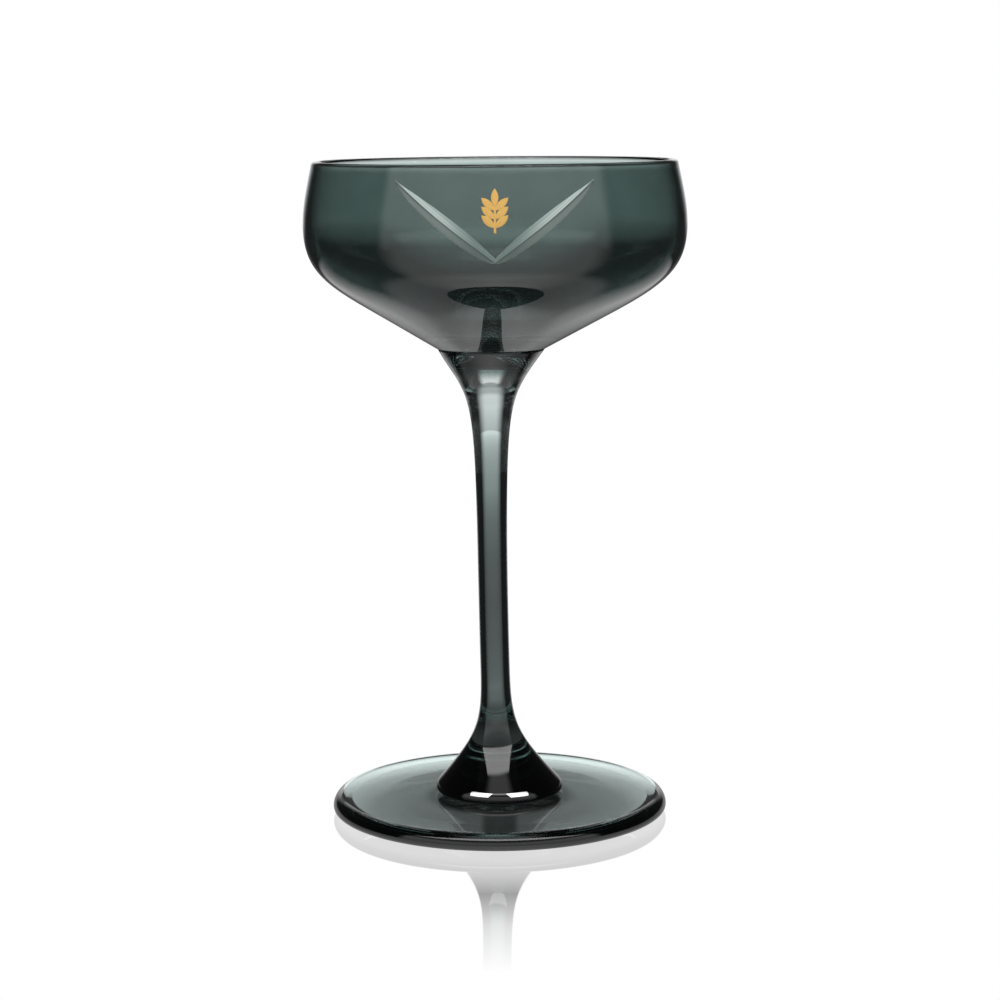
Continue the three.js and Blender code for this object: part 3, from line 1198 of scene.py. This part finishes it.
@dataclass
class Studio:
    """A white table before a white ground, a broad panel in front, a strip of light behind and dim sides.

    Levels are radiances, with 1 for white paper. The ground and the table are plain white to the camera; the
    levels are what the glass itself sees. Stops are pairs of a place and a level, by elevation or bearing in
    degrees or by distance from the glass in millimetres. An edge is a pair of the places where a change
    starts and where it is whole. How often light has crossed a face of the glass tells the outer gloss
    (never), the stem's light (up to three times) and the bowl's (four times and more) apart.
    """

    lens: float = 93.9
    sensor: float = 36.0
    bounces: int = 12
    camera_x: float = 0.64
    camera_distance: float = 622.0
    camera_height: float = 171.8
    pitch: float = 8.7
    roll: float = -0.45
    floor_drop: float = 0.05
    floor_reach: float = 8000.0
    mirror_shares: tuple = ((42, 0.3), (56, 0.4), (70, 0.65), (80, 0.5), (92, 0.28), (106, 0.14), (122, 0.0))
    mirror_blur: float = 0.03
    front_edge: tuple = (74.0, 66.0)
    back_edge: tuple = (152.0, 172.0)
    side_level: float = 0.03
    front_levels: tuple = ((0, 0.8), (10, 0.95), (24, 1.2), (32, 0.5), (45, 0.1), (60, 0.05))
    overhead_level: float = 0.85
    overhead_edges: tuple = ((0.84, 0.92), (0.34, 0.16), (0.1, 0.0))
    back_levels: tuple = ((0, 0.9), (5, 1.1), (20, 1.1), (26, 0.65), (38, 0.7), (50, 0.0))
    gap_level: float = 0.12
    gap_edges: tuple = ((12.0, 13.5), (20.0, 17.5))
    panel_level: float = 4.5
    panel_edges: tuple = ((48.0, 50.0), (67.0, 65.0), (70.0, 66.0))
    panel_droop: float = 0.0021
    panel_taper: float = 1.57
    near_levels: tuple = ((0, 1.5), (40, 1.2), (80, 0.5), (120, 0.4), (155, 0.4), (168, 0.12))
    middle_levels: tuple = (
        (0, 1.0), (60, 0.8), (74, 0.04), (128, 0.04), (142, 0.5), (158, 0.9), (170, 0.14),
    )
    far_level: float = 0.75
    far_back_levels: tuple = ((420, 0.2), (1200, 0.12), (1700, 0.15), (2150, 0.42), (3500, 0.9))
    centre_edge: tuple = (175.3, 178.3)
    centre_levels: tuple = ((420, 0.08), (1050, 0.08), (1200, 0.33), (1700, 0.65), (2150, 1.0), (3500, 0.95))
    stem_edge: tuple = (152.0, 168.0)
    stem_levels: tuple = (
        (100, 0.35), (116, 0.42), (133, 0.34), (193, 0.25), (263, 0.21), (346, 0.25), (410, 0.33),
        (485, 0.46), (567, 0.63), (640, 0.76), (900, 0.78), (2000, 1.05), (4000, 1.4),
    )
    stem_crossings: tuple = (3.5, 2.5)
    mirrored_level: float = 0.06
    gloss_level: float = 0.9
    gloss_bearing: tuple = (145.0, 165.0)
    gloss_edge: tuple = (180.0, 110.0)
    halo_level: float = 1.1
    halo_edge: tuple = (56.0, 46.0)
    halo_bearing: tuple = (105.0, 135.0)
    middle_edge: tuple = (95.0, 130.0)
    far_edge: tuple = (400.0, 520.0)
    foot_edge: tuple = (38.5, 41.0)
    # Painted shadows and caustics on the table under the foot, which only the glass sees.
    foot_shadow_glow_levels: tuple = ((0, 0.17), (20, 0.22), (30, 0.38), (38, 0.9), (48, 2.3))
    foot_shadow_shift: float = 12.0
    base_shadow_level: float = 0.02
    base_shadow_edge: tuple = (20.0, 15.0)
    spot_level: float = 0.8
    spot_place: tuple = (0.0, 14.0, 0.0)
    spot_edge: tuple = (3.8, 2.6)
    stem_shadow_level: float = 0.08
    stem_shadow_edge: tuple = (5.0, 3.0)
    stem_shadow_front: tuple = (0.0, -1.0)
    card_azimuth: float = 30.0
    card_distance: float = 28.0
    card_height: float = 20.0
    card_tilt: float = 42.0
    card_size: tuple = (16.0, 15.0)
    card_spread: float = 80.0
    card_power: float = 0.006
    card_bounces: tuple = (2.6, 2.4)

    def camera(self) -> None:
        """Stands the camera in front of the glass, above it, tilted down and rolled a little."""
        data = bpy.data.cameras.new("camera")
        data.lens = self.lens
        data.sensor_width = self.sensor
        camera = placed("camera", data)
        tilt = Euler((math.radians(QUARTER_TURN - self.pitch), 0, 0)).to_matrix().to_4x4()
        place = Matrix.Translation((self.camera_x * MM, -self.camera_distance * MM, self.camera_height * MM))
        camera.matrix_world = place @ tilt @ Matrix.Rotation(math.radians(self.roll), 4, "Z")
        bpy.context.scene.camera = camera

    def open_level(self, tree: Tree, reach: Socket, angle: Socket) -> Socket:
        """How bright the bowl sees the table round the glass: near, middle and far, and a lit far centre.

        Args:
            tree: The table's node tree.
            reach: Distance from the glass in millimetres.
            angle: Bearing from the front in degrees.

        Returns:
            The radiance.
        """
        back = levels(tree, reach, self.far_back_levels)
        back = shift(tree, back, levels(tree, reach, self.centre_levels), (angle, self.centre_edge))
        far = shift(tree, self.side_level, self.far_level, (angle, self.front_edge))
        far = shift(tree, far, back, (angle, self.back_edge))
        middle = shift(tree, levels(tree, angle, self.middle_levels), far, (reach, self.far_edge))
        return shift(tree, levels(tree, angle, self.near_levels), middle, (reach, self.middle_edge))

    def lane_level(self, tree: Tree, reach: Socket, angle: Socket) -> Socket:
        """How bright the stem sees the table: a lane that brightens with distance, and a halo by the foot.

        Args:
            tree: The table's node tree.
            reach: Distance from the glass in millimetres.
            angle: Bearing from the front in degrees.

        Returns:
            The radiance.
        """
        lane = shift(tree, self.side_level, self.far_level, (angle, self.front_edge))
        lane = shift(tree, lane, levels(tree, reach, self.stem_levels), (angle, self.stem_edge))
        return shift(tree, lane, self.halo_level, (reach, self.halo_edge), (angle, self.halo_bearing))

    def under_level(self, tree: Tree, place: Socket, reach: Socket) -> Socket:
        """How bright the glass sees the table under the foot: a painted shadow of the foot with a painted
        caustic glow round it, a painted shadow of the stem, painted shade under the base and a painted
        caustic spot.

        Args:
            tree: The table's node tree.
            place: A point of the table in millimetres.
            reach: Its distance from the glass.

        Returns:
            The radiance.
        """
        aside, spot = (
            add_node(tree, "VectorMath", {0: place, 1: centre}, operation="DISTANCE").outputs["Value"]
            for centre in ((0, -self.foot_shadow_shift, 0), self.spot_place)
        )
        parts = add_node(tree, "SeparateXYZ", {0: place}).outputs
        across = add_node(tree, "Math", {0: parts["X"]}, operation="ABSOLUTE").outputs[0]
        # Painted shadow of the stem: a dark band on the table in front of it.
        stem_shadow = ((across, self.stem_shadow_edge), (parts["Y"], self.stem_shadow_front))
        # Painted shadow of the foot, thrown towards the front, that brightens to a painted caustic glow under
        # its edge.
        level = shift(tree, levels(tree, aside, self.foot_shadow_glow_levels), self.stem_shadow_level, *stem_shadow)
        # Painted shade under the stem's base.
        level = shift(tree, level, self.base_shadow_level, (reach, self.base_shadow_edge))
        # A painted caustic spot behind the base.
        return shift(tree, level, self.spot_level, (spot, self.spot_edge))

    def table_level(self, tree: Tree, place: Socket, reach: Socket) -> Socket:
        """How bright the glass sees the table: by the way the light takes, and dim where it mirrors inside.

        Args:
            tree: The table's node tree.
            place: A point of the table in millimetres.
            reach: Its distance from the glass.

        Returns:
            The radiance.
        """
        angle = bearing(tree, place)
        path = add_node(tree, "LightPath").outputs
        crossed, mirrored = path["Transmission Depth"], path["Glossy Depth"]
        level = self.open_level(tree, reach, angle)
        lane = self.lane_level(tree, reach, angle)
        level = shift(tree, level, lane, (crossed, YES), (crossed, self.stem_crossings))
        gloss = ((crossed, NO), (angle, self.gloss_bearing), (reach, self.gloss_edge))
        level = shift(tree, level, self.gloss_level, *gloss)
        level = shift(tree, self.under_level(tree, place, reach), level, (reach, self.foot_edge))
        return shift(tree, level, self.mirrored_level, (crossed, YES), (mirrored, YES))

    def table(self) -> None:
        """Lays the table: plain white with a gloss that fades away from the glass."""
        material = bpy.data.materials.new("white_acrylic_table")
        tree = empty_tree(material)
        point = add_node(tree, "TexCoord").outputs["Object"]
        place = add_node(tree, "VectorMath", {0: point, "Scale": 1 / MM}, operation="SCALE").outputs[0]
        reach = add_node(tree, "VectorMath", {0: place}, operation="LENGTH").outputs["Value"]
        seen = add_node(tree, "LightPath").outputs["Is Camera Ray"]
        share = shift(tree, 0.0, levels(tree, reach, self.mirror_shares), (seen, YES))
        strength = shift(tree, self.table_level(tree, place, reach), 1.0, (seen, YES))
        glow = add_node(tree, "Emission", {"Color": WHITE, "Strength": strength})
        gloss = add_node(tree, "BsdfGlossy", {"Color": WHITE, "Roughness": self.mirror_blur})
        mixed = add_node(tree, "MixShader", {0: share, 1: glow.outputs[0], 2: gloss.outputs[0]})
        add_node(tree, "OutputMaterial", {"Surface": mixed.outputs[0]})
        far, low = self.floor_reach * MM, -self.floor_drop * MM
        corners = [(-far, -far, low), (far, -far, low), (far, far, low), (-far, far, low)]
        mesh = bpy.data.meshes.new("table")
        mesh.from_pydata(corners, [], [(0, 1, 2, 3)])
        mesh.materials.append(material)
        placed("table", mesh)

    def outer_level(self, tree: Tree, angle: Socket, elevation: Socket, lit: Socket) -> Socket:
        """What the outer gloss sees: the room with a bright panel over the front and a dim gap behind.

        The panel's lower and upper edges droop with the square of the bearing, and it narrows as it rises.

        Args:
            tree: The world's node tree.
            angle: Bearing from the front in degrees.
            elevation: Height above the horizon in degrees.
            lit: The room's level without them.

        Returns:
            The radiance.
        """
        gap = [(elevation, edge) for edge in self.gap_edges]
        level = shift(tree, lit, self.gap_level, *gap, (angle, self.back_edge))
        lower, upper, side = self.panel_edges
        square = add_node(tree, "Math", {0: angle, 1: angle}, operation="MULTIPLY").outputs[0]
        height = add_node(tree, "Math", {
            0: square, 1: self.panel_droop, 2: elevation,
        }, operation="MULTIPLY_ADD").outputs[0]
        above = add_node(tree, "Math", {0: height, 1: lower[1]}, operation="SUBTRACT").outputs[0]
        turn = add_node(tree, "Math", {
            0: above, 1: self.panel_taper, 2: angle,
        }, operation="MULTIPLY_ADD").outputs[0]
        return shift(tree, level, self.panel_level, (height, lower), (height, upper), (turn, side))

    def sky(self) -> None:
        """Lights the room: white to the camera and in the table's gloss, the panels' levels to the glass."""
        world = bpy.data.worlds.new("studio")
        tree = empty_tree(world)
        aim = add_node(tree, "TexCoord").outputs["Generated"]
        angle = bearing(tree, aim)
        parts = add_node(tree, "SeparateXYZ", {0: aim}).outputs
        tilt = add_node(tree, "Math", {0: parts["Z"]}, operation="ARCSINE").outputs[0]
        elevation = add_node(tree, "Math", {0: tilt}, operation="DEGREES").outputs[0]
        across = add_node(tree, "Math", {0: parts["X"]}, operation="ABSOLUTE").outputs[0]
        overhead = zip((parts["Z"], across, parts["Y"]), self.overhead_edges)
        front = levels(tree, elevation, self.front_levels)
        back = levels(tree, elevation, self.back_levels)
        lit = shift(tree, self.side_level, front, (angle, self.front_edge))
        lit = shift(tree, lit, back, (angle, self.back_edge))
        lit = shift(tree, lit, self.overhead_level, *overhead)
        path = add_node(tree, "LightPath").outputs
        outer = self.outer_level(tree, angle, elevation, lit)
        lit = shift(tree, lit, outer, (path["Transmission Depth"], NO))
        blurred = (
            (path["Is Glossy Ray"], YES), (path["Is Reflection Ray"], YES), (path["Is Singular Ray"], NO),
        )
        strength = shift(tree, lit, 1.0, *blurred)
        strength = shift(tree, strength, 1.0, (path["Is Camera Ray"], YES))
        ground = add_node(tree, "Background", {"Color": WHITE, "Strength": strength})
        add_node(tree, "OutputWorld", {"Surface": ground.outputs[0]})
        bpy.context.scene.world = world

    def glints(self, stem: bpy.types.Object) -> None:
        """Stands two small lit cards over the foot, which only the gloss of the stem's bead can see.

        Args:
            stem: The stem, the only piece that they light.
        """
        lit = bpy.data.collections.new("lit_by_cards")
        lit.objects.link(stem)
        for name, side in (("left", -1), ("right", 1)):
            data = bpy.data.lights.new(f"{name}_card", "AREA")
            data.shape = "RECTANGLE"
            data.size, data.size_y = (size * MM for size in self.card_size)
            data.spread = math.radians(self.card_spread)
            data.energy = self.card_power
            tree = empty_tree(data)
            depth = add_node(tree, "LightPath").outputs["Ray Depth"]
            strength = shift(tree, 0.0, 1.0, (depth, self.card_bounces))
            glow = add_node(tree, "Emission", {"Color": WHITE, "Strength": strength})
            add_node(tree, "OutputLight", {"Surface": glow.outputs[0]})
            light = placed(f"{name}_card", data)
            turn = Matrix.Rotation(math.radians(side * self.card_azimuth), 4, "Z")
            stand = Matrix.Translation((0, -self.card_distance * MM, self.card_height * MM))
            tilt = Matrix.Rotation(math.radians(QUARTER_TURN - self.card_tilt), 4, "X")
            light.matrix_world = turn @ stand @ tilt
            light.light_linking.receiver_collection = lit
            light.visible_camera = False
            light.visible_transmission = False

    def build(self) -> None:
        """Sets up the table, the light and the camera."""
        self.table()
        self.sky()
        self.camera()
        scene = bpy.context.scene
        scene.view_settings.view_transform = "Standard"
        scene.cycles.max_bounces = self.bounces
        scene.cycles.transmission_bounces = self.bounces
        scene.cycles.glossy_bounces = self.bounces


def main() -> None:
    """Builds the studio and then the glass, piece by piece."""
    logging.basicConfig(level=logging.INFO, format="%(message)s")
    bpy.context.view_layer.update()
    studio = Studio()
    studio.build()
    low, high = (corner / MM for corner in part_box("bowl"))
    bowl = Bowl(seat=low.z, top=high.z, belly_radius=high.x)
    stem_low, stem_high = (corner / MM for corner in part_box("stem"))
    stem = Stem(bottom=stem_low.z, top=stem_high.z, base_radius=stem_high.x)
    foot_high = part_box("foot")[1] / MM
    foot = Foot(radius=foot_high.x, top=foot_high.z, seat_radius=stem.bead()[0, 0])
    glass = [finish.material() for finish in (SmokeCoat(), ClearGlass(), CutGlass(), FusedJoint())]
    gold = [GoldLustre().material()]
    for piece, finishes in ((bowl, glass), (stem, glass), (foot, glass), (Sprig(bowl), gold)):
        made = piece.build(finishes)
        piece.dress(made)
        if piece is stem:
            studio.glints(made)


if __name__ == "__main__":
    main()
